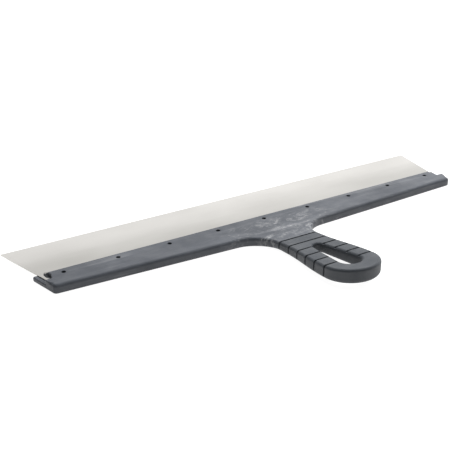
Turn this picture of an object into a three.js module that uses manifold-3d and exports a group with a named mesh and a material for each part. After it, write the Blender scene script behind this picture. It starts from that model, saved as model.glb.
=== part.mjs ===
// Wide facade filling knife: a thin stainless blade held in a one-piece moulded body,
// which is a long jaw (the holder), a flared neck and a grooved loop handle.
// Millimetres. +X along the blade, +Y towards the working edge, +Z up.
// The origin is under the middle of the tool, on the surface that it stands on.

import * as THREE from 'three';
import { mergeVertices } from 'three/addons/utils/BufferGeometryUtils.js';
import Module from 'manifold-3d';

const wasm = await Module();
wasm.setup();

// ---- overall ----
const TOOL_LENGTH = 208.1; // working edge to the end of the loop
const EDGE_REACH = 64.2; // working edge, ahead of the line of locating holes
const PIN_Y = TOOL_LENGTH / 2 - EDGE_REACH; // the line of locating holes
const GAP = 0.3; // clearance between the blade and the moulding

// ---- blade ----
const BLADE_WIDTH = 450; // along the working edge
const BLADE_THICKNESS = 0.8;
const BLADE_TOP = 4.9;
const BLADE_DEPTH = 82.2; // working edge to the hidden back edge
const BLADE_TAPER = 0.205; // the sides draw in by this much per millimetre of depth
const BLADE_CORNER = 1;

// ---- holder (places along Y are measured from the line of locating holes) ----
const HOLDER_HEIGHT = 8.1;
const LIP_FRONT = 13; // front of the lower jaw
const JAW_FRONT = 6.6; // front of the upper jaw
const LIP_END = 218.4; // half length at the front of the lower jaw
const END_SLANT = 0.17; // the end faces draw in by this much per millimetre
const WING_ROOT = 28.4; // back edge of the holder, carried in to the middle
const WING_TAPER = 0.047; // the back edge comes forward by this much per millimetre
const FRONT_CORNER = 2.2;
const BACK_CORNER = 3.5;
const EDGE_ROUND = 1.9; // rounding of the moulding's long edges

// ---- notch at each end of the upper jaw ----
const NOTCH_START = 208.5;
const NOTCH_BACK = -5;

// ---- oval locating hole at each end, through the blade and the lower jaw ----
const OVAL_X = 207.2;
const OVAL_Y = 6.5;
const OVAL_HALF_X = 3.2;
const OVAL_HALF_Y = 6;

// ---- locating holes and the plastic studs that key the blade ----
const HOLE_COUNT = 9;
const HOLE_PITCH = 49.15;
const HOLE_RADIUS = 1.9;
const STUD_COUNT = 8;
const STUD_RADIUS = 3.5;
const STUD_Y = -8;

// ---- handle ----
const NECK_FILLET = 26;
const GRIP_HALF = 20.8; // half width across the first two grooves
const LOOP_RADIUS = 25.6; // outside of the loop's round end
const LOOP_CENTRE = EDGE_REACH - TOOL_LENGTH + LOOP_RADIUS;
const GRIP_START = -58; // where the sides begin to flare
const NECK_Y = -38; // where the grip's faces leave the holder's
const TOP_RISE = 0.095; // climb of the grip's top face, per millimetre
const UNDER_RISE = 0.044; // climb of its underside

// ---- finger slot ----
const SLOT_FRONT = -77.5;
const SLOT_FRONT_RADIUS = 5;
const SLOT_BACK = -118.5;
const SLOT_BACK_RADIUS = 9.7;

// ---- grooves across the grip ----
const GROOVE_COUNT = 6;
const GROOVE_FIRST = -51.1;
const GROOVE_PITCH = 13.22;
const GROOVE_WIDTH = 1.2;
const GROOVE_DEPTH = 1.1;

const STEEL = new THREE.MeshStandardMaterial({ color: 0xd8d5d0, metalness: 0.9, roughness: 0.4 });
const PLASTIC = new THREE.MeshStandardMaterial({ color: 0x6a6e74, metalness: 0, roughness: 0.6 });

// ---- joining and cutting ----

function solid(geometry) {
  const bare = geometry.clone();
  bare.deleteAttribute('normal');
  bare.deleteAttribute('uv');
  const merged = mergeVertices(bare, 1e-4);
  return new wasm.Manifold(new wasm.Mesh({
    numProp: 3,
    vertProperties: new Float32Array(merged.attributes.position.array),
    triVerts: new Uint32Array(merged.index.array),
  }));
}

function geometryOf(manifold) {
  const mesh = manifold.getMesh();
  const geometry = new THREE.BufferGeometry();
  geometry.setAttribute('position', new THREE.BufferAttribute(mesh.vertProperties, 3));
  geometry.setIndex(new THREE.BufferAttribute(mesh.triVerts, 1));
  geometry.computeVertexNormals();
  return geometry;
}

function box(x0, y0, z0, x1, y1, z1) {
  const geometry = new THREE.BoxGeometry(x1 - x0, y1 - y0, z1 - z0);
  geometry.translate((x0 + x1) / 2, (y0 + y1) / 2, (z0 + z1) / 2);
  return solid(geometry);
}

function disc(x, y, z0, z1, radius, sides) {
  const geometry = new THREE.CylinderGeometry(radius, radius, z1 - z0, sides);
  geometry.rotateX(Math.PI / 2);
  geometry.translate(x, y, (z0 + z1) / 2);
  return solid(geometry);
}

// A flat plate of the given outline between two heights, with its edges rounded.
function plate(shape, z0, z1, round, steps) {
  const geometry = new THREE.ExtrudeGeometry(shape, {
    depth: z1 - z0 - 2 * round,
    bevelEnabled: round > 0,
    bevelThickness: round,
    bevelSize: round,
    bevelOffset: -round,
    bevelSegments: steps,
    curveSegments: 10,
  });
  geometry.translate(0, 0, z0 + round);
  return geometry;
}

// ---- outlines ----

// Makes a whole outline from its right half. Points on the middle line are left out,
// because they lie on straight edges, unless the half ends in a tip.
function mirrored(points, hasTip) {
  const kept = (p, i) => i === 0 || (p.x > 0.01 && p.distanceTo(points[i - 1]) > 0.01);
  const right = points.filter(kept);
  const left = right.map((p) => new THREE.Vector2(-p.x, p.y)).reverse();
  const tip = hasTip ? [new THREE.Vector2(0, points[points.length - 1].y)] : [];
  return new THREE.Shape([...right, ...tip, ...left].reverse());
}

// Adds a rounded clockwise corner at `at`, between the points `from` and `to`.
function addCorner(path, from, at, to, radius) {
  const a = from.clone().sub(at).normalize();
  const b = to.clone().sub(at).normalize();
  const half = Math.acos(a.dot(b)) / 2;
  const centre = a.clone().add(b).setLength(radius / Math.sin(half)).add(at);
  const start = a.multiplyScalar(radius / Math.tan(half)).add(at).sub(centre);
  const end = b.multiplyScalar(radius / Math.tan(half)).add(at).sub(centre);
  path.absarc(centre.x, centre.y, radius, start.angle(), end.angle(), true);
}

const wingBack = (x) => -(WING_ROOT - WING_TAPER * x);

// The moulding's plan: jaw, wings, neck fillets and the outside of the loop.
function bodyOutline(inset) {
  const front = new THREE.Vector2(LIP_END - inset, LIP_FRONT - inset);
  const backX = LIP_END - END_SLANT * (LIP_FRONT + WING_ROOT - WING_TAPER * LIP_END);
  const back = new THREE.Vector2(backX - inset, wingBack(backX) + inset);
  const grip = GRIP_HALF - inset;
  const fillet = NECK_FILLET + inset;
  const filletX = grip + fillet;
  const filletY = wingBack(filletX) + inset - fillet;
  const slope = Math.atan(WING_TAPER);
  const half = new THREE.Path();
  addCorner(half, new THREE.Vector2(0, front.y), front, back, FRONT_CORNER);
  addCorner(half, front, back, new THREE.Vector2(filletX, wingBack(filletX) + inset), BACK_CORNER);
  half.absarc(filletX, filletY, fillet, Math.PI / 2 + slope, Math.PI, false);
  half.lineTo(grip, GRIP_START);
  half.bezierCurveTo(
    grip, GRIP_START - 22,
    LOOP_RADIUS - inset, LOOP_CENTRE + 25,
    LOOP_RADIUS - inset, LOOP_CENTRE,
  );
  half.absarc(0, LOOP_CENTRE, LOOP_RADIUS - inset, 0, -Math.PI / 2, true);
  return mirrored(half.getPoints(8), true);
}

function slotOutline() {
  const reach = SLOT_FRONT - SLOT_BACK;
  const lean = Math.asin((SLOT_BACK_RADIUS - SLOT_FRONT_RADIUS) / reach);
  const path = new THREE.Path();
  path.absarc(0, SLOT_FRONT, SLOT_FRONT_RADIUS, lean, Math.PI - lean, false);
  path.absarc(0, SLOT_BACK, SLOT_BACK_RADIUS, Math.PI - lean, 2 * Math.PI + lean, false);
  return path;
}

function bladeOutline(grow) {
  const halfAt = (y) => BLADE_WIDTH / 2 - BLADE_TAPER * (EDGE_REACH - y) + grow;
  const front = new THREE.Vector2(halfAt(EDGE_REACH), EDGE_REACH);
  const backY = EDGE_REACH - BLADE_DEPTH - grow;
  const back = new THREE.Vector2(halfAt(backY), backY);
  const half = new THREE.Path();
  addCorner(half, new THREE.Vector2(0, front.y), front, back, BLADE_CORNER);
  half.lineTo(back.x, back.y);
  half.lineTo(0, back.y);
  return mirrored(half.getPoints(3), false);
}

// ---- the moulding's lift: flat at the holder, climbing along the grip ----

function liftedHeight(y, z) {
  const along = Math.max(0, NECK_Y - y);
  const bottom = UNDER_RISE * along;
  const top = HOLDER_HEIGHT + TOP_RISE * along;
  return bottom + (z / HOLDER_HEIGHT) * (top - bottom);
}

function lift(manifold) {
  const geometry = geometryOf(manifold);
  const position = geometry.attributes.position;
  for (let i = 0; i < position.count; i += 1) {
    position.setZ(i, liftedHeight(position.getY(i), position.getZ(i)));
  }
  return solid(geometry);
}

// Splits the full outline at the neck and lifts the part behind it.
function mouldedForm() {
  const outline = bodyOutline(0);
  outline.holes.push(slotOutline());
  const whole = solid(plate(outline, 0, HOLDER_HEIGHT, EDGE_ROUND, 3));
  const holder = whole.intersect(box(-300, NECK_Y, -1, 300, 100, 20));
  const grip = whole.intersect(box(-300, -200, -1, 300, NECK_Y, 20));
  return holder.add(lift(grip));
}

// What is left inside the grooves: the same form, drawn in by their depth, with no slot.
function grooveCore() {
  const depth = HOLDER_HEIGHT - 2 * GROOVE_DEPTH * 0.8;
  const geometry = plate(bodyOutline(GROOVE_DEPTH), 0, depth, EDGE_ROUND * 0.7, 2);
  geometry.translate(0, 0, GROOVE_DEPTH * 0.8);
  return lift(solid(geometry).intersect(box(-60, -200, -1, 60, NECK_Y, 20)));
}

function grooves() {
  const core = grooveCore();
  let cut = null;
  for (let i = 0; i < GROOVE_COUNT; i += 1) {
    const y = GROOVE_FIRST - i * GROOVE_PITCH;
    const slab = box(-60, y - GROOVE_WIDTH / 2, -2, 60, y + GROOVE_WIDTH / 2, 30);
    cut = cut ? cut.add(slab) : slab;
  }
  return cut.subtract(core);
}

// ---- holes ----

const holeX = (i) => (i - (HOLE_COUNT - 1) / 2) * HOLE_PITCH;
const studX = (i) => (i - (STUD_COUNT - 1) / 2) * HOLE_PITCH;

function ovalHole(side, z0, z1) {
  const geometry = new THREE.CylinderGeometry(1, 1, z1 - z0, 20);
  geometry.rotateX(Math.PI / 2);
  geometry.scale(OVAL_HALF_X, OVAL_HALF_Y, 1);
  geometry.translate(side * OVAL_X, OVAL_Y, (z0 + z1) / 2);
  return solid(geometry);
}

// ---- the two pieces ----

function makeBody() {
  const pocketFloor = BLADE_TOP - BLADE_THICKNESS - GAP;
  const pocketRoof = BLADE_TOP + GAP;
  let body = mouldedForm().subtract(grooves());
  body = body.subtract(box(-300, JAW_FRONT, pocketFloor, 300, 30, 30));
  body = body.subtract(solid(plate(bladeOutline(GAP), pocketFloor, pocketRoof, 0, 1)));
  for (const side of [-1, 1]) {
    const low = Math.min(side * NOTCH_START, side * 300);
    const high = Math.max(side * NOTCH_START, side * 300);
    body = body.subtract(box(low, NOTCH_BACK, pocketFloor, high, 30, 30));
    body = body.subtract(ovalHole(side, -1, pocketRoof));
  }
  for (let i = 0; i < STUD_COUNT; i += 1) {
    const stud = disc(studX(i), STUD_Y, pocketFloor - 0.5, pocketRoof + 0.5, STUD_RADIUS, 20);
    body = body.add(stud);
  }
  for (let i = 0; i < HOLE_COUNT; i += 1) {
    body = body.subtract(disc(holeX(i), 0, -1, 20, HOLE_RADIUS, 14));
  }
  return body;
}

function makeBlade() {
  const bottom = BLADE_TOP - BLADE_THICKNESS;
  let blade = solid(plate(bladeOutline(0), bottom, BLADE_TOP, 0, 1));
  for (let i = 0; i < STUD_COUNT; i += 1) {
    blade = blade.subtract(disc(studX(i), STUD_Y, 0, 10, STUD_RADIUS + GAP, 20));
  }
  for (const side of [-1, 1]) blade = blade.subtract(ovalHole(side, 0, 10));
  return blade;
}

function piece(name, manifold, material) {
  const mesh = new THREE.Mesh(geometryOf(manifold), material);
  mesh.name = name;
  mesh.position.y = PIN_Y;
  return mesh;
}

const tool = new THREE.Group();
tool.add(piece('moulded_body', makeBody(), PLASTIC));
tool.add(piece('blade', makeBlade(), STEEL));

export default tool;
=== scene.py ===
# A wide filling knife: a thin stainless blade held in a one-piece moulded plastic body.
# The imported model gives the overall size. Millimetres are used for the details of the
# outlines and are turned into metres when a mesh is made.
import math

import bmesh
import bpy
import numpy as np
from mathutils import Matrix, Vector


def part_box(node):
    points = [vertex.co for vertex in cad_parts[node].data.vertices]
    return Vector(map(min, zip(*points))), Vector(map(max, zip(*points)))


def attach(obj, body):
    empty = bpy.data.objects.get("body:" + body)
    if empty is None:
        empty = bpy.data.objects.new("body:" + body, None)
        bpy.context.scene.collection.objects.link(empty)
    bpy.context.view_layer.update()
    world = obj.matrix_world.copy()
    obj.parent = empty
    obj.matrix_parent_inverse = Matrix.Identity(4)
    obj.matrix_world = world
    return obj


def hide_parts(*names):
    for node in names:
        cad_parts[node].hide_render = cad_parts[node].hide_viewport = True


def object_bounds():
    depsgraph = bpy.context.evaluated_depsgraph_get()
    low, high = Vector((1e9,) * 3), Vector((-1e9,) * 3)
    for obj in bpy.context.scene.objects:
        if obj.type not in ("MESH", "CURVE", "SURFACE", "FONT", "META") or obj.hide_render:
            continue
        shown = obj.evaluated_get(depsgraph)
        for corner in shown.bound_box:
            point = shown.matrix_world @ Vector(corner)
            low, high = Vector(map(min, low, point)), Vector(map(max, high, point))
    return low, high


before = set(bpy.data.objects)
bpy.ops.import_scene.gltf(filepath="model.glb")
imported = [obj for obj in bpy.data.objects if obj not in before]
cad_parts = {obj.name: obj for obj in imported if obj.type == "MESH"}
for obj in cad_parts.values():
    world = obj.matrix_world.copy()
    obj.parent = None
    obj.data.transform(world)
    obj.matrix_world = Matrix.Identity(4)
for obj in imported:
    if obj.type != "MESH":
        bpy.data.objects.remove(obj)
CAD_LOW, CAD_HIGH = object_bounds()
MM = 0.001

# ---------------------------------------------------------------- driving dimensions
BODY_LOW, BODY_HIGH = (np.array(corner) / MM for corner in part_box("moulded_body"))
BLADE_LOW, BLADE_HIGH = (np.array(corner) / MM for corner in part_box("blade"))

FLOOR_GAP = 0.0002  # metres under the tool

LIP_FRONT = 13.0  # places along Y are measured from the line of locating holes
PIN_LINE = BODY_HIGH[1] - LIP_FRONT
JAW_FRONT = 6.6
HOLDER_HEIGHT = 8.1
BLADE_TOP = BLADE_HIGH[2]
BLADE_UNDER = BLADE_LOW[2]
FIT = 0.03  # clearance round the blade inside the moulding

LIP_END = 218.4
END_SLANT = 0.17
WING_ROOT = 28.4
WING_TAPER = 0.047
NOTCH_WALL = 208.3
NOTCH_BACK = -5.0
NOTCH_BULGE = 1.1  # how far the notch's wall curves in

NECK_FILLET = 26.0
GRIP_HALF = 20.8
LOOP_RADIUS = 25.6
LOOP_TIP = BODY_LOW[1] - PIN_LINE
LOOP_CENTRE = LOOP_TIP + LOOP_RADIUS
GRIP_START = -58.0
LIFT_START = -38.0
TOP_RISE = 0.095
UNDER_RISE = 0.044
LIFT_BLEND = 7.0  # softens the start of the lift
LIFT_SETTLE = 0.35  # takes up the small height that the softening adds
LIFT_FADE = (-25, 5)  # ahead of this stretch there is no lift at all

SLOT_FRONT = -78.3
SLOT_FRONT_RADIUS = 5.0
SLOT_BACK = -118.5
SLOT_BACK_RADIUS = 9.7

GROOVES = [-51.1 - 13.22 * i for i in range(6)]
GROOVE_DEPTH = 1.3
GROOVE_PROFILE = ((0.95, 0.0), (0.8, 0.14), (0.66, 0.55), (0.56, 0.86), (0.4, 1.0), (0.0, 1.0))

PIN_PITCH = 49.15
PIN_COUNT = 9
PIN_RADIUS = 1.9
OVAL_X = 207.2
OVAL_Y = 6.5
OVAL_HALF = (3.2, 6.0)
SIDE_TAPER = 0.205  # the blade's sides draw in by this much per millimetre of depth
CORNER_CUT = 0.22  # how far the blade's rounded corners fall short of its straight sides

UNDER_WIDE = 5.0  # width of the rounding under the grip, which is nearly round
UNDER_DEEP = 3.7  # height of that rounding
TOP_ROUND = 2.6  # rounding over the grip
WING_TOP_ROUND = 3.0
END_TOP_ROUND = 0.7
WING_UNDER_ROUND = 1.3
LIP_ROUND = 1.1  # rounding over the lower lip
ROUND_STEPS = 6

JOIN_Y = -6.6  # behind the notch, the outlines of both jaws are the same from here back
BACK_CORNER = 3.5
HOLE_CHAMFER = 0.25
SKIN = 0.001  # keeps neighbouring rings from sharing a height


# ---------------------------------------------------------------- outline helpers
def line(a, b, count):
    """Points from a up to, but not including, b."""
    steps = np.linspace(0, 1, count, endpoint=False)[:, None]
    return np.array(a) + steps * (np.array(b) - np.array(a))


def arc(centre, radius, start, end, count):
    """Points of an arc, in degrees, up to but not including its end."""
    angles = np.radians(np.linspace(start, end, count, endpoint=False))
    return np.array(centre) + radius * np.stack([np.cos(angles), np.sin(angles)], axis=1)


def bezier(p0, p1, p2, p3, count):
    t = np.linspace(0, 1, count, endpoint=False)[:, None]
    points = [np.array(p, float) for p in (p0, p1, p2, p3)]
    return (
        (1 - t) ** 3 * points[0] + 3 * (1 - t) ** 2 * t * points[1]
        + 3 * (1 - t) * t ** 2 * points[2] + t ** 3 * points[3]
    )


def corner(before, at, after, radius, count):
    """A rounded corner at `at`: an arc that touches both of its straight sides."""
    at = np.array(at, float)
    a = np.array(before, float) - at
    b = np.array(after, float) - at
    a /= np.linalg.norm(a)
    b /= np.linalg.norm(b)
    half = math.acos(float(a @ b)) / 2
    middle = (a + b) / np.linalg.norm(a + b)
    centre = at + middle * radius / math.sin(half)
    first = at + a * radius / math.tan(half) - centre
    last = at + b * radius / math.tan(half) - centre
    start = math.degrees(math.atan2(first[1], first[0]))
    turn = math.degrees(math.atan2(first[0] * last[1] - first[1] * last[0], float(first @ last)))
    return arc(centre, radius, start, start + turn, count)


def end_x(y):
    return LIP_END - END_SLANT * (LIP_FRONT - y)


def wing_y(x):
    return -(WING_ROOT - WING_TAPER * x)


def side_x(y):
    """Half width of the blade at y."""
    edge = BLADE_HIGH[1] - PIN_LINE
    return BLADE_HIGH[0] + CORNER_CUT - SIDE_TAPER * (edge - y)


# How many points each stretch of the right half outline has.
FRONT, CORNER, WALL, INNER, LEDGE, OUTER = 40, 8, 8, 8, 3, 6


def shared_back():
    """From the end face behind the notch round to the tip of the loop."""
    back_x = end_x(wing_y(LIP_END - 5))
    back = (back_x, wing_y(back_x))
    start = (end_x(JOIN_Y), JOIN_Y)
    fillet_x = GRIP_HALF + NECK_FILLET
    fillet_y = wing_y(fillet_x) - NECK_FILLET
    slope = math.degrees(math.atan(WING_TAPER))
    turn = corner(start, back, (fillet_x, wing_y(fillet_x)), BACK_CORNER, 8)
    return np.concatenate([
        line(start, turn[0], 4),
        turn,
        line((back_x - 3.6, wing_y(back_x - 3.6)), (fillet_x, wing_y(fillet_x)), 46),
        arc((fillet_x, fillet_y), NECK_FILLET, 90 + slope, 180, 30),
        line((GRIP_HALF, fillet_y), (GRIP_HALF, GRIP_START), 3),
        bezier(
            (GRIP_HALF, GRIP_START), (GRIP_HALF, GRIP_START - 22),
            (LOOP_RADIUS, LOOP_CENTRE + 25), (LOOP_RADIUS, LOOP_CENTRE), 40,
        ),
        arc((0, LOOP_CENTRE), LOOP_RADIUS, 0, -90, 30),
        [(0.0, LOOP_TIP)],
    ])


def lower_outline():
    """Plan of the lower jaw: its lip runs out under the blade."""
    y = LIP_FRONT
    turn = corner((0, y), (end_x(y), y), (end_x(0), 0), 1.6, CORNER)
    face = turn[-1] + (turn[-1] - turn[-2]) * 0.8
    stops = np.linspace(face[1], JOIN_Y, WALL + INNER + LEDGE + OUTER, endpoint=False)
    side = np.stack([end_x(stops), stops], axis=1)
    return np.concatenate([line((0, y), turn[0], FRONT), turn, side, shared_back()])


def upper_outline():
    """Plan of the upper jaw: shorter than the lip, and notched at each end."""
    front = (NOTCH_WALL - 0.3, JAW_FRONT)
    inner = (NOTCH_WALL + 0.2, NOTCH_BACK)
    outer = (end_x(NOTCH_BACK), NOTCH_BACK)
    convex = corner((0, JAW_FRONT), front, inner, 0.8, CORNER)
    concave = corner(front, inner, outer, 2.2, INNER)
    shoulder = corner(inner, outer, (end_x(-9), -9), 0.9, OUTER)
    wall = line(convex[-1] + (convex[-1] - convex[-2]) * 0.9, concave[0], WALL)
    bulge = np.sin(np.linspace(0, math.pi, WALL)) * NOTCH_BULGE
    wall[:, 0] -= bulge
    ledge = line(concave[-1] + (concave[-1] - concave[-2]) * 0.9, shoulder[0], LEDGE)
    return np.concatenate([
        line((0, JAW_FRONT), convex[0], FRONT), convex, wall, concave, ledge, shoulder,
        shared_back(),
    ])


def pocket_outline():
    """Plan of the hidden pocket that holds the blade; it joins the outline behind the notch."""
    back_y = BLADE_LOW[1] - PIN_LINE - FIT
    back = (side_x(back_y) + FIT, back_y)
    last = (side_x(-6.0) + FIT, -6.0)
    turn = corner((0, back_y), back, last, 0.5, CORNER)
    side = line(turn[-1] + (turn[-1] - turn[-2]), last, WALL + INNER + LEDGE)
    out = line(last, (end_x(JOIN_Y), JOIN_Y), OUTER)
    return np.concatenate([line((0, back_y), turn[0], FRONT), turn, side, out, shared_back()])


def whole(half):
    """Closed outline, anticlockwise seen from above, from its right half."""
    left = half[1:-1][::-1] * np.array([-1.0, 1.0])
    return np.concatenate([half, left])[::-1]


def inward(points):
    """Unit normals of a closed anticlockwise outline, pointing into it."""
    ahead = np.roll(points, -1, axis=0) - points
    behind = points - np.roll(points, 1, axis=0)
    ahead /= np.linalg.norm(ahead, axis=1)[:, None]
    behind /= np.linalg.norm(behind, axis=1)[:, None]
    along = ahead + behind
    along /= np.linalg.norm(along, axis=1)[:, None]
    normal = np.stack([-along[:, 1], along[:, 0]], axis=1)
    stretch = 1 / np.clip(np.abs((normal * np.stack([-ahead[:, 1], ahead[:, 0]], 1)).sum(1)), 0.6, 1)
    return normal * stretch[:, None]


def smooth(low, high, value):
    t = np.clip((value - low) / (high - low), 0, 1)
    return t * t * (3 - 2 * t)


# ---------------------------------------------------------------- the moulded body
def lifted(y, z):
    """Height of a point of the flat form after the grip is raised and thickened."""
    ahead = LIFT_START - y
    along = (ahead + np.sqrt(ahead ** 2 + LIFT_BLEND ** 2)) / 2
    along = (along - LIFT_SETTLE * smooth(60, -60, ahead)) * smooth(*LIFT_FADE, ahead)
    under = UNDER_RISE * along
    top = HOLDER_HEIGHT + TOP_RISE * along
    low, high = UNDER_DEEP, HOLDER_HEIGHT - TOP_ROUND
    middle = (z - low) / (high - low) * ((top - TOP_ROUND) - (under + low)) + under + low
    return np.where(z <= low, under + z, np.where(z >= high, top - (HOLDER_HEIGHT - z), middle))


def slot_outline():
    """Plan of the finger slot's wall: two round ends joined by straight sides."""
    reach = SLOT_FRONT - SLOT_BACK
    lean = math.degrees(math.asin((SLOT_BACK_RADIUS - SLOT_FRONT_RADIUS) / reach))
    front = arc((0, SLOT_FRONT), SLOT_FRONT_RADIUS, lean, 180 - lean, 36)
    back = arc((0, SLOT_BACK), SLOT_BACK_RADIUS, 180 - lean, 360 + lean, 44)
    left = line(front[-1], back[0], 18)[1:]
    right = line(back[-1], front[0], 18)[1:]
    return np.concatenate([front, left, back, right])


def add_ring(bm, points, heights):
    return [bm.verts.new((p[0], p[1], h)) for p, h in zip(points, heights)]


def bridge(bm, lower, upper, flip=False):
    count = len(lower)
    for i in range(count):
        j = (i + 1) % count
        quad = (lower[i], lower[j], upper[j], upper[i])
        if len(set(v.co.to_tuple(6) for v in quad)) < 3:
            continue
        bm.faces.new(quad[::-1] if flip else quad)


def edge_rounding(points):
    """Rounding at each point of the outline: top radius, and bottom width and height."""
    along = smooth(-24, -52, points[:, 1])
    front = smooth(-8, -14, points[:, 1])
    behind = WING_TOP_ROUND * (1 - along) + TOP_ROUND * along
    top = END_TOP_ROUND * (1 - front) + behind * front
    wide = WING_UNDER_ROUND * (1 - along) + UNDER_WIDE * along
    deep = WING_UNDER_ROUND * (1 - along) + UNDER_DEEP * along
    return top, wide, deep


def body_shell():
    lower = whole(lower_outline())
    upper = whole(upper_outline())
    pocket = whole(pocket_outline())
    lower_in = inward(lower)
    upper_in = inward(upper)
    top_round, bottom_wide, bottom_deep = edge_rounding(lower)
    lip = np.abs(lower - upper).sum(axis=1) > 1e-4
    lip_round = np.where(lip, LIP_ROUND, 0.0)
    bm = bmesh.new()
    rings = []
    for k in range(ROUND_STEPS + 1):
        angle = math.pi / 2 * k / ROUND_STEPS
        inset = bottom_wide * (1 - math.sin(angle))
        height = bottom_deep * (1 - math.cos(angle))
        rings.append(add_ring(bm, lower + lower_in * inset[:, None], height))
    for k in range(4):
        angle = math.pi / 2 * k / 3
        inset = lip_round * (1 - math.cos(angle))
        height = BLADE_UNDER - FIT - LIP_ROUND * (1 - math.sin(angle))
        height = np.maximum(height, bottom_deep + 0.02 * (k + 1))
        rings.append(add_ring(bm, lower + lower_in * inset[:, None], height))
    flat = np.full(len(lower), 1.0)
    rings.append(add_ring(bm, pocket, flat * (BLADE_UNDER - FIT + SKIN)))
    rings.append(add_ring(bm, pocket, flat * (BLADE_TOP + FIT)))
    rings.append(add_ring(bm, upper, flat * (BLADE_TOP + FIT + SKIN)))
    for k in range(ROUND_STEPS + 1):
        angle = math.pi / 2 * k / ROUND_STEPS
        inset = top_round * (1 - math.cos(angle))
        height = HOLDER_HEIGHT - top_round * (1 - math.sin(angle))
        rings.append(add_ring(bm, upper + upper_in * inset[:, None], height))
    for low, high in zip(rings, rings[1:]):
        bridge(bm, low, high)
    return bm, rings[0], rings[-1]


def slot_shell(bm):
    slot = slot_outline()
    out = -inward(slot)
    front = smooth(SLOT_FRONT - 14, SLOT_FRONT + 4, slot[:, 1])
    top_round = 2.9 - 0.5 * front
    rings = []
    for k in range(ROUND_STEPS + 1):
        angle = math.pi / 2 * k / ROUND_STEPS
        rings.append(add_ring(
            bm, slot + out * UNDER_WIDE * (1 - math.sin(angle)),
            np.full(len(slot), UNDER_DEEP * (1 - math.cos(angle))),
        ))
    for k in range(ROUND_STEPS + 1):
        angle = math.pi / 2 * k / ROUND_STEPS
        rings.append(add_ring(
            bm, slot + out * (top_round * (1 - math.cos(angle)))[:, None],
            HOLDER_HEIGHT - top_round * (1 - math.sin(angle)),
        ))
    for low, high in zip(rings, rings[1:]):
        bridge(bm, low, high, flip=True)
    return rings[0], rings[-1]


def cap(bm, outer, inner, up):
    """Fills the flat face between the outline's ring and the slot's ring."""
    edges = []
    for ring in (outer, inner):
        for i, vert in enumerate(ring):
            edge = bm.edges.get((vert, ring[(i + 1) % len(ring)]))
            if edge is not None:
                edges.append(edge)
    made = bmesh.ops.triangle_fill(bm, edges=edges, use_beauty=True, normal=(0, 0, 1))
    for item in made["geom"]:
        if isinstance(item, bmesh.types.BMFace) and (item.normal.z > 0) != up:
            item.normal_flip()


def cut_rows(bm):
    """Adds the rows of vertices that the grooves and the lift need."""
    rows = []
    for groove in GROOVES:
        for offset, _ in GROOVE_PROFILE:
            rows += [groove + offset, groove - offset] if offset else [groove]
    lifts = [LIFT_START + 24 - 2.5 * i for i in range(16)]
    rows += [y for y in lifts if all(abs(y - g) > 1.2 for g in GROOVES)]
    for y in rows:
        bmesh.ops.bisect_plane(
            bm, geom=bm.verts[:] + bm.edges[:] + bm.faces[:],
            dist=1e-5, plane_co=(0, y, 0), plane_no=(0, 1, 0),
        )


def slot_distance(x, y):
    """Distance outside the finger slot's wall."""
    t = np.clip((SLOT_FRONT - y) / (SLOT_FRONT - SLOT_BACK), 0, 1)
    centre = SLOT_FRONT + t * (SLOT_BACK - SLOT_FRONT)
    radius = SLOT_FRONT_RADIUS + t * (SLOT_BACK_RADIUS - SLOT_FRONT_RADIUS)
    return np.hypot(x, y - centre) - radius


def press_grooves(bm):
    """Presses the grooves in; they fade out on the rim of the finger slot."""
    bm.normal_update()
    offsets = np.array([p[0] for p in GROOVE_PROFILE][::-1])
    depths = np.array([p[1] for p in GROOVE_PROFILE][::-1])
    for vert in bm.verts:
        x, y, z = vert.co
        near = min(abs(y - g) for g in GROOVES)
        if near > GROOVE_PROFILE[0][0]:
            continue
        depth = GROOVE_DEPTH * float(np.interp(near, offsets, depths))
        depth *= float(smooth(0.3, 1.6, slot_distance(x, y)))
        normal = Vector((vert.normal.x, 0, vert.normal.z))
        if normal.length > 1e-6:
            vert.co -= normal.normalized() * depth


def place(bm):
    """Turns millimetres from the line of locating holes into metres in the shared frame."""
    for vert in bm.verts:
        vert.co = Vector((vert.co.x, vert.co.y + PIN_LINE, vert.co.z)) * MM


def finish_body(bm):
    for vert in bm.verts:
        vert.co.z = float(lifted(vert.co.y, vert.co.z))
    place(bm)


def to_object(bm, name):
    mesh = bpy.data.meshes.new(name)
    bm.to_mesh(mesh)
    bm.free()
    obj = bpy.data.objects.new(name, mesh)
    bpy.context.scene.collection.objects.link(obj)
    return obj


def spun_cutter(profile, x, y, sides, scale=(1, 1)):
    """A closed turned form, from (radius, height) pairs bottom to top, at a place in plan."""
    bm = bmesh.new()
    angles = [2 * math.pi * i / sides for i in range(sides)]
    rings = [
        [bm.verts.new((x + r * math.cos(a) * scale[0], y + r * math.sin(a) * scale[1], z))
         for a in angles]
        for r, z in profile
    ]
    for low, high in zip(rings, rings[1:]):
        bridge(bm, low, high)
    bm.faces.new(rings[0][::-1])
    bm.faces.new(rings[-1])
    place(bm)
    return to_object(bm, "cutter")


def chamfered(radius, chamfer, top):
    """Profile of a hole through the upper jaw; its chamfer runs on past the surface."""
    return [(radius, top - chamfer), (radius + 1, top - chamfer + 1)]


def cut(obj, cutters):
    """Takes the cutters out of the object and applies the result."""
    joined = bpy.data.collections.new("cutters")
    for cutter in cutters:
        joined.objects.link(cutter)
    modifier = obj.modifiers.new("cut", "BOOLEAN")
    modifier.operation = "DIFFERENCE"
    modifier.solver = "EXACT"
    modifier.operand_type = "COLLECTION"
    modifier.collection = joined
    bpy.context.view_layer.update()
    evaluated = obj.evaluated_get(bpy.context.evaluated_depsgraph_get())
    mesh = bpy.data.meshes.new_from_object(evaluated)
    obj.modifiers.clear()
    obj.data = mesh
    for cutter in cutters:
        bpy.data.objects.remove(cutter)
    bpy.data.collections.remove(joined)


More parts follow.
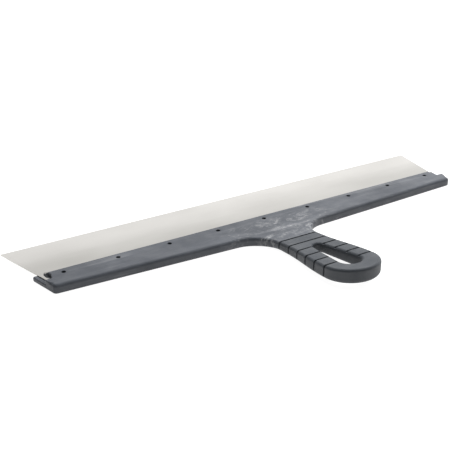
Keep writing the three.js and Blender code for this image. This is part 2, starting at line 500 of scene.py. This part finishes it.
def shade(obj, angle):
    """Smooth shading with sharp edges above an angle, flat faces kept flat."""
    obj.data.shade_smooth()
    obj.data.set_sharp_from_angle(angle=math.radians(angle))
    weighted = obj.modifiers.new("normals", "WEIGHTED_NORMAL")
    weighted.keep_sharp = True
    weighted.weight = 80


def make_body():
    bm, low_ring, high_ring = body_shell()
    slot_low, slot_high = slot_shell(bm)
    cap(bm, high_ring, slot_high, True)
    cap(bm, low_ring, slot_low, False)
    bmesh.ops.remove_doubles(bm, verts=bm.verts[:], dist=1e-4)
    bmesh.ops.recalc_face_normals(bm, faces=bm.faces[:])
    cut_rows(bm)
    press_grooves(bm)
    finish_body(bm)
    body = to_object(bm, "moulded_body_surface")
    cutters = []
    mouth = chamfered(PIN_RADIUS, HOLE_CHAMFER, HOLDER_HEIGHT)
    above = [(PIN_RADIUS, BLADE_TOP - 0.4)] + mouth
    below = [(r, HOLDER_HEIGHT - z) for r, z in mouth[::-1]]
    below.append((PIN_RADIUS, BLADE_UNDER + 0.4))
    for i in range(PIN_COUNT):
        x = (i - (PIN_COUNT - 1) / 2) * PIN_PITCH
        cutters.append(spun_cutter(above, x, 0, 24))
        cutters.append(spun_cutter(below, x, 0, 24))
    for side in (-1, 1):
        cutters.append(spun_cutter(
            [(1, -1), (1, BLADE_TOP - 0.2)], side * OVAL_X, OVAL_Y, 32, OVAL_HALF,
        ))
    cut(body, cutters)
    shade(body, 38)
    return body


body = make_body()
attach(body, "root")
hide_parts("moulded_body")


# ---------------------------------------------------------------- the blade
def blade_outline():
    """Plan of the blade: a shallow trapezoid with small front corners."""
    front_y = BLADE_HIGH[1] - PIN_LINE
    back_y = BLADE_LOW[1] - PIN_LINE
    front = (side_x(front_y), front_y)
    back = (side_x(back_y), back_y)
    half = np.concatenate([
        line((0, front_y), (front[0] - 3, front_y), 30),
        corner((0, front_y), front, back, 1.0, 8),
        line((side_x(front_y - 2), front_y - 2), back, 12),
        corner(front, back, (0, back_y), 0.6, 4),
        [(0.0, back_y)],
    ])
    return whole(half)


# The blade's softened edge: how far each ring is drawn in, and its share of the thickness.
BLADE_EDGE = ((0.12, 0.0), (0.03, 0.06), (0.0, 0.16), (0.0, 0.84), (0.03, 0.94), (0.12, 1.0))


def make_blade():
    outline = blade_outline()
    inner = inward(outline)
    bm = bmesh.new()
    rings = []
    thickness = BLADE_TOP - BLADE_UNDER
    for inset, share in BLADE_EDGE:
        height = np.full(len(outline), BLADE_UNDER + share * thickness)
        rings.append(add_ring(bm, outline + inner * inset, height))
    for low, high in zip(rings, rings[1:]):
        bridge(bm, low, high)
    bm.faces.new(rings[0][::-1])
    bm.faces.new(rings[-1])
    place(bm)
    blade = to_object(bm, "blade_sheet")
    cut(blade, [
        spun_cutter([(1, BLADE_UNDER - 1), (1, BLADE_TOP + 1)], side * OVAL_X, OVAL_Y, 32, OVAL_HALF)
        for side in (-1, 1)
    ])
    shade(blade, 38)
    return blade


blade = make_blade()
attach(blade, "root")
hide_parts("blade")


# ---------------------------------------------------------------- materials
class Nodes:
    """A small helper that adds and joins shader nodes."""

    def __init__(self, name):
        self.material = bpy.data.materials.new(name)
        self.material.use_nodes = True
        self.tree = self.material.node_tree
        self.shader = self.tree.nodes["Principled BSDF"]
        self.place = self.add("ShaderNodeTexCoord").outputs["Object"]

    def add(self, kind, inputs=None, **settings):
        node = self.tree.nodes.new(kind)
        for key, value in settings.items():
            setattr(node, key, value)
        for key, value in (inputs or {}).items():
            self.feed(node.inputs[key], value)
        return node

    def feed(self, socket, value):
        if isinstance(value, bpy.types.NodeSocket):
            self.tree.links.new(value, socket)
        else:
            socket.default_value = value

    def moved(self, scale, shift=(0, 0, 0), turn=(0, 0, 0)):
        node = self.add("ShaderNodeMapping", {"Vector": self.place})
        node.inputs["Scale"].default_value = scale
        node.inputs["Location"].default_value = shift
        node.inputs["Rotation"].default_value = turn
        return node.outputs["Vector"]

    def noise(self, vector, scale, detail=4.0, rough=0.55, distortion=0.0):
        node = self.add("ShaderNodeTexNoise", {
            "Vector": vector, "Scale": scale, "Detail": detail,
            "Roughness": rough, "Distortion": distortion,
        })
        return node.outputs["Fac"]

    def ramp(self, value, low, high, start=0.0, end=1.0):
        node = self.add("ShaderNodeMapRange", {
            "Value": value, "From Min": low, "From Max": high, "To Min": start, "To Max": end,
        }, interpolation_type="SMOOTHSTEP")
        return node.outputs["Result"]

    def math(self, operation, a, b=0.0):
        node = self.add("ShaderNodeMath", operation=operation)
        self.feed(node.inputs[0], a)
        self.feed(node.inputs[1], b)
        return node.outputs["Value"]

    def mix(self, factor, a, b):
        node = self.add("ShaderNodeMix", data_type="RGBA")
        self.feed(node.inputs["Factor"], factor)
        self.feed(node.inputs["A"], a)
        self.feed(node.inputs["B"], b)
        return node.outputs["Result"]

    def bump(self, height, strength, distance, normal=None):
        inputs = {"Height": height, "Strength": strength, "Distance": distance}
        if normal is not None:
            inputs["Normal"] = normal
        return self.add("ShaderNodeBump", inputs).outputs["Normal"]


def plastic():
    n = Nodes("moulded_plastic")
    split = n.add("ShaderNodeSeparateXYZ", {"Vector": n.place})
    x, y = split.outputs["X"], split.outputs["Y"]
    pin = PIN_LINE * MM
    # pale flow marks of the moulding, strongest round the neck and none on the grip
    across = n.math("ABSOLUTE", n.math("SUBTRACT", x, 0.004))
    near_x = n.ramp(across, 0.02, 0.085, 1.0, 0.0)
    near_y = n.math(
        "MULTIPLY", n.ramp(y, pin - 0.0512, pin - 0.049), n.ramp(y, pin - 0.012, pin + 0.001, 1.0, 0.0),
    )
    region = n.math("MULTIPLY", near_x, near_y)
    swirl = n.noise(n.moved((30, 55, 40), (0.3, 0.1, 0)), 1.0, 6.0, 0.66, 2.2)
    threads = n.noise(n.moved((90, 200, 90), (1.7, 0, 0), (0, 0, -0.5)), 1.0, 6.0, 0.68, 3.2)
    marks = n.math("MULTIPLY", n.ramp(swirl, 0.42, 0.62), n.ramp(threads, 0.4, 0.66))
    marks = n.math("MULTIPLY", marks, region)
    # long faint streaks on the wings
    streaks = n.ramp(n.noise(n.moved((10, 190, 190), (0, 0.4, 0)), 1.0, 5.0, 0.62, 0.8), 0.52, 0.8)
    streaks = n.math("MULTIPLY", streaks, n.ramp(y, pin - 0.05, pin - 0.046))
    cloud = n.noise(n.moved((14, 30, 30), (3, 1, 0)), 1.0, 4.0, 0.6)
    base = n.mix(n.ramp(cloud, 0.3, 0.7), (0.030, 0.034, 0.042, 1), (0.046, 0.051, 0.061, 1))
    base = n.mix(n.math("MULTIPLY", streaks, 0.5), base, (0.14, 0.145, 0.155, 1))
    base = n.mix(n.math("MULTIPLY", marks, 0.52), base, (0.36, 0.36, 0.36, 1))
    jaw = n.ramp(y, pin - 0.0512, pin - 0.049)
    base = n.mix(jaw, (0.028, 0.032, 0.038, 1), base)
    n.feed(n.shader.inputs["Base Color"], base)
    fine = n.noise(n.moved((1, 1, 1)), 900.0, 3.0, 0.6)
    rough = n.ramp(n.noise(n.moved((60, 60, 60), (0, 2, 0)), 1.0, 4.0, 0.6), 0.3, 0.7, 0.42, 0.56)
    rough = n.math("ADD", rough, n.math("MULTIPLY", marks, 0.08))
    rough = n.math("ADD", rough, n.math("MULTIPLY", n.math("SUBTRACT", 1.0, jaw), 0.04))
    n.feed(n.shader.inputs["Roughness"], rough)
    n.shader.inputs["IOR"].default_value = 1.47
    normal = n.bump(fine, 0.25, 0.00015)
    normal = n.bump(n.noise(n.moved((60, 160, 160)), 1.0, 4.0, 0.6), 0.35, 0.0006, normal)
    n.feed(n.shader.inputs["Normal"], normal)
    return n.material


def steel():
    n = Nodes("satin_stainless")
    grain = n.noise(n.moved((14, 2600, 400)), 1.0, 4.0, 0.65)
    wide = n.noise(n.moved((5, 13, 1), (0.6, 0.2, 0)), 1.0, 4.0, 0.55)
    y = n.add("ShaderNodeSeparateXYZ", {"Vector": n.place}).outputs["Y"]
    front = BLADE_HIGH[1] * MM
    # painted reflection: the steel's colour is made lighter towards the working edge, standing in for
    # the brighter sky it mirrors there at a more grazing view; the broad noise mixed in with it is
    # random tone of the steel
    reach = n.ramp(y, (PIN_LINE + JAW_FRONT) * MM, front, 0.0, 1.0)
    tone_and_painted_reflection = n.math("ADD", n.math("MULTIPLY", wide, 0.6), n.math("MULTIPLY", reach, 0.55))
    tone = n.mix(n.ramp(tone_and_painted_reflection, 0.22, 0.85), (0.47, 0.46, 0.435, 1), (0.635, 0.62, 0.595, 1))
    n.feed(n.shader.inputs["Base Color"], tone)
    n.shader.inputs["Metallic"].default_value = 1.0
    rough = n.ramp(n.noise(n.moved((9, 22, 1), (4, 0, 0)), 1.0, 5.0, 0.6), 0.3, 0.7, 0.34, 0.44)
    rough = n.math("ADD", rough, n.ramp(grain, 0.2, 0.8, -0.04, 0.05))
    n.feed(n.shader.inputs["Roughness"], rough)
    n.feed(n.shader.inputs["Normal"], n.bump(grain, 0.12, 0.00005))
    return n.material


def floor_paint():
    n = Nodes("pale_floor")
    tone = n.noise(n.moved((3, 3, 3)), 1.0, 3.0, 0.5)
    n.feed(n.shader.inputs["Base Color"], n.mix(tone, (0.20, 0.20, 0.20, 1), (0.24, 0.24, 0.24, 1)))
    n.shader.inputs["Roughness"].default_value = 0.9
    n.shader.inputs["Emission Color"].default_value = (1, 1, 1, 1)
    n.shader.inputs["Emission Strength"].default_value = 0.95
    return n.material


body.data.materials.clear()
body.data.materials.append(plastic())
blade.data.materials.clear()
blade.data.materials.append(steel())


# ---------------------------------------------------------------- floor, light and camera
def make_floor():
    bm = bmesh.new()
    size = 6.0
    signs = ((-1, -1), (1, -1), (1, 1), (-1, 1))
    bm.faces.new([bm.verts.new((sx * size, sy * size, 0)) for sx, sy in signs])
    obj = to_object(bm, "floor")
    obj.location.z = CAD_LOW[2] - FLOOR_GAP
    obj.data.materials.append(floor_paint())


def soft_light(name, spot, target, size, power):
    """A large lamp that lights the surfaces but isn't mirrored in them."""
    data = bpy.data.lights.new(name, "AREA")
    data.shape = "RECTANGLE"
    data.size, data.size_y = size
    data.energy = power
    obj = bpy.data.objects.new(name, data)
    bpy.context.scene.collection.objects.link(obj)
    obj.location = spot
    aim = Vector(target) - Vector(spot)
    obj.rotation_euler = aim.to_track_quat("-Z", "Y").to_euler()
    obj.visible_glossy = False


def make_light():
    """A soft studio: brighter towards the working edge and dimmer behind the handle."""
    world = bpy.data.worlds.new("studio")
    bpy.context.scene.world = world
    world.use_nodes = True
    tree = world.node_tree
    direction = tree.nodes.new("ShaderNodeTexCoord").outputs["Generated"]
    split = tree.nodes.new("ShaderNodeSeparateXYZ")
    tree.links.new(direction, split.inputs["Vector"])
    level = tree.nodes.new("ShaderNodeMath")
    level.operation = "MULTIPLY"
    ramps = (("Y", -0.6, 0.5, 0.28, 1.0), ("X", -0.6, 0.75, 0.3, 1.6))
    for i, (axis, low, high, dim, bright) in enumerate(ramps):
        fade = tree.nodes.new("ShaderNodeMapRange")
        tree.links.new(split.outputs[axis], fade.inputs["Value"])
        fade.inputs["From Min"].default_value = low
        fade.inputs["From Max"].default_value = high
        fade.inputs["To Min"].default_value = dim
        fade.inputs["To Max"].default_value = bright
        tree.links.new(fade.outputs["Result"], level.inputs[i])
    background = tree.nodes["Background"]
    background.inputs["Color"].default_value = (1, 1, 1, 1)
    tree.links.new(level.outputs["Value"], background.inputs["Strength"])
    soft_light("overhead", (0.35, 0.45, 1.2), (0.1, 0, 0), (1.4, 1.0), 32.0)
    soft_light("right_side", (1.0, 0.2, 0.6), (0.2, 0, 0), (0.7, 0.7), 16.0)


def make_camera():
    """Looks down on the tool from behind the left end of its holder."""
    turn, tilt, roll = math.radians(33.59), math.radians(23.75), math.radians(0.15)
    view = Vector((math.sin(turn) * math.cos(tilt), math.cos(turn) * math.cos(tilt), -math.sin(tilt)))
    aim = Vector((-0.04469, (PIN_LINE - 4.16) * MM, 0.01375))
    distance = 0.87338
    data = bpy.data.cameras.new("camera")
    data.lens = 80.29
    data.sensor_width = 36.0
    data.clip_start = 0.05
    camera = bpy.data.objects.new("camera", data)
    bpy.context.scene.collection.objects.link(camera)
    camera.location = aim - view * distance
    facing = view.to_track_quat("-Z", "Y").to_matrix()
    camera.rotation_euler = (facing @ Matrix.Rotation(roll, 3, "Z")).to_euler()
    bpy.context.scene.camera = camera


make_floor()
make_light()
make_camera()
bpy.context.scene.view_settings.view_transform = "Standard"
